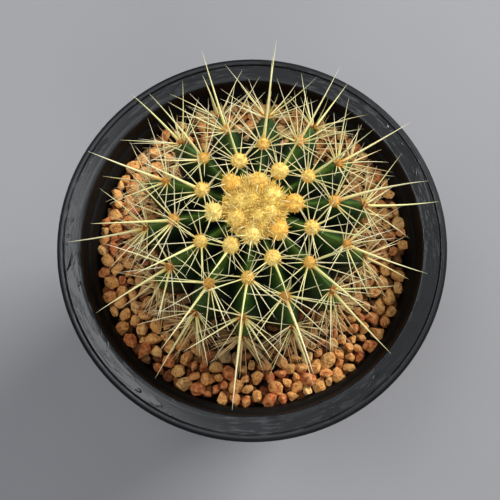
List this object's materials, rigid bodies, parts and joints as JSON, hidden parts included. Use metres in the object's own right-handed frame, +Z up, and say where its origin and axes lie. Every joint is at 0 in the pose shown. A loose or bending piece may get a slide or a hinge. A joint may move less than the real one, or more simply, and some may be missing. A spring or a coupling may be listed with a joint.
{
  "type": "potted round cactus",
  "caption": "Round ribbed barrel cactus with golden wool and straw-coloured spines, in a black plastic nursery pot dressed with tan clay granules.",
  "frame": {"origin": "centre of the pot's flat base, on the surface it stands on", "axes": "+Z up through the middle of the pot's mouth, +X to the right and +Y away as the plant is seen from the front"},
  "size_m": [0.15, 0.15, 0.189],
  "materials": {
    "pot_plastic": "satin",
    "potting_mix": "matte",
    "clay_granules": "matte",
    "root_bark": "matte",
    "cactus_skin": "satin",
    "areole_wool": "matte",
    "spines": "satin"
  },
  "bodies": {
    "root": {"pot": "pot_plastic", "potting_mix": "potting_mix", "gravel_dressing": "clay_granules", "root_system": "root_bark", "cactus_body": "cactus_skin", "crown_wool": "areole_wool", "spine_cluster_03_rib_03": "spines", "spine_cluster_03_rib_10": "spines", "spine_cluster_04_rib_05": "spines", "spine_cluster_04_rib_12": "spines", "spine_cluster_05_rib_07": "spines", "spine_cluster_05_rib_14": "spines", "spine_cluster_06_rib_02": "spines", "spine_cluster_06_rib_09": "spines", "spine_cluster_07_rib_04": "spines", "spine_cluster_07_rib_11": "spines", "spine_cluster_08_rib_06": "spines", "spine_cluster_08_rib_13": "spines", "spine_cluster_09_rib_01": "spines", "spine_cluster_09_rib_08": "spines", "spine_cluster_10_rib_03": "spines", "spine_cluster_10_rib_10": "spines", "spine_cluster_11_rib_05": "spines", "spine_cluster_11_rib_12": "spines", "spine_cluster_12_rib_07": "spines", "spine_cluster_12_rib_14": "spines", "spine_cluster_13_rib_02": "spines", "spine_cluster_13_rib_09": "spines", "spine_cluster_14_rib_04": "spines", "spine_cluster_14_rib_11": "spines", "spine_cluster_15_rib_06": "spines", "spine_cluster_15_rib_13": "spines", "spine_cluster_16_rib_01": "spines", "spine_cluster_16_rib_08": "spines", "spine_cluster_17_rib_03": "spines", "spine_cluster_17_rib_10": "spines", "spine_cluster_18_rib_05": "spines", "spine_cluster_18_rib_12": "spines", "spine_cluster_19_rib_07": "spines", "spine_cluster_19_rib_14": "spines", "spine_cluster_20_rib_02": "spines", "spine_cluster_20_rib_09": "spines", "spine_cluster_21_rib_04": "spines", "spine_cluster_21_rib_11": "spines", "spine_cluster_22_rib_06": "spines", "spine_cluster_22_rib_13": "spines", "spine_cluster_23_rib_01": "spines", "spine_cluster_23_rib_08": "spines", "spine_cluster_24_rib_03": "spines", "spine_cluster_24_rib_10": "spines", "spine_cluster_25_rib_05": "spines", "spine_cluster_25_rib_12": "spines", "spine_cluster_26_rib_07": "spines", "spine_cluster_26_rib_14": "spines", "spine_cluster_27_rib_02": "spines", "spine_cluster_27_rib_09": "spines", "spine_cluster_28_rib_04": "spines", "spine_cluster_28_rib_11": "spines", "spine_cluster_29_rib_06": "spines", "spine_cluster_29_rib_13": "spines"}
  },
  "joints": []
}
